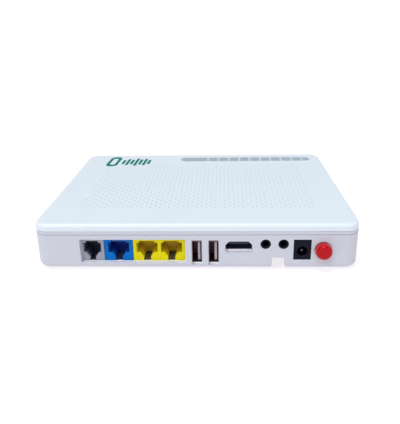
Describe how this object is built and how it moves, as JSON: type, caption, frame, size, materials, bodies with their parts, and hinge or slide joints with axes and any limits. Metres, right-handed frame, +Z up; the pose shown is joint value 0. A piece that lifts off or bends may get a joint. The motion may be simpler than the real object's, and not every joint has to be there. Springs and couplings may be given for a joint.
{
  "type": "optical network terminal",
  "caption": "Flat white desktop optical network terminal with phone, network, USB, HDMI, audio and power ports along one wall, a red push button and a vented cover.",
  "frame": {"origin": "under the middle of the whole object, on the surface its feet stand on", "axes": "+X along the row of ports, +Y from the port wall to the back, +Z up"},
  "size_m": [0.184, 0.1544, 0.0285],
  "materials": {
    "case_white": "satin moulded",
    "lens_grey": "smooth tinted",
    "guide_clear": "polished",
    "lamp": "moulded",
    "rubber_grey": "matte",
    "screw_steel": "zinc plated",
    "label_paper": "matte film",
    "board_green": "solder mask",
    "jack_grey": "moulded",
    "jack_blue": "moulded",
    "jack_yellow": "moulded",
    "print_teal": "printed",
    "contact_gold": "gold plated",
    "shell_steel": "nickel plated",
    "tongue_white": "moulded",
    "black_plastic": "moulded",
    "pin_steel": "nickel plated",
    "button_red": "glossy moulded",
    "switch_grey": "moulded",
    "spring_steel": "drawn wire",
    "fibre_green": "moulded",
    "ceramic_white": "ground ceramic",
    "module_metal": "bare",
    "heatsink_metal": "anodised",
    "chip_black": "moulded",
    "pad_grey": "soft",
    "can_metal": "drawn can",
    "ferrite_grey": "sintered",
    "ceramic_tan": "fired"
  },
  "bodies": {
    "terminal": {"base_housing": "case_white", "port_panel": "case_white", "fibre_guide": "case_white", "top_cover": "case_white", "led_lens": "lens_grey", "light_guide": "guide_clear", "status_leds": "lamp", "rubber_feet": "rubber_grey", "case_screws": "screw_steel", "rating_label": "label_paper", "main_board": "board_green", "rj11_jack": "jack_grey", "rj11_contacts": "contact_gold", "rj45_wan_jack": "jack_blue", "rj45_wan_contacts": "contact_gold", "rj45_lan_jack": "jack_yellow", "rj45_lan_contacts": "contact_gold", "usb_shell_1": "shell_steel", "usb_shell_2": "shell_steel", "usb_tongue_1": "tongue_white", "usb_tongue_2": "tongue_white", "usb_contacts_1": "contact_gold", "usb_contacts_2": "contact_gold", "hdmi_shell": "shell_steel", "hdmi_tongue": "black_plastic", "hdmi_contacts": "contact_gold", "audio_jack_1": "black_plastic", "audio_jack_2": "black_plastic", "dc_jack_body": "black_plastic", "dc_centre_pin": "pin_steel", "dc_side_spring": "spring_steel", "switch_body": "switch_grey", "return_spring": "spring_steel", "fibre_receptacle": "fibre_green", "ferrule_sleeve": "ceramic_white", "optical_module": "module_metal", "processor_chip": "chip_black", "thermal_pad": "pad_grey", "heatsink": "heatsink_metal", "memory_chips": "chip_black", "flash_chip": "chip_black", "phone_line_chip": "chip_black", "crystals": "can_metal", "ceramic_capacitors": "ceramic_tan", "network_transformers": "chip_black", "electrolytic_capacitors": "can_metal", "power_inductors": "ferrite_grey"},
    "power_button": {"button_cap": "button_red", "switch_plunger": "tongue_white"}
  },
  "joints": [
    {"name": "power_button_press", "type": "slide", "parent": "terminal", "child": "power_button", "axis": [0, 1, 0], "range_m": [0, 0.0028], "stiffness_N_per_m": 500, "springref_m": -0.001, "deforming": ["return_spring"]}
  ]
}
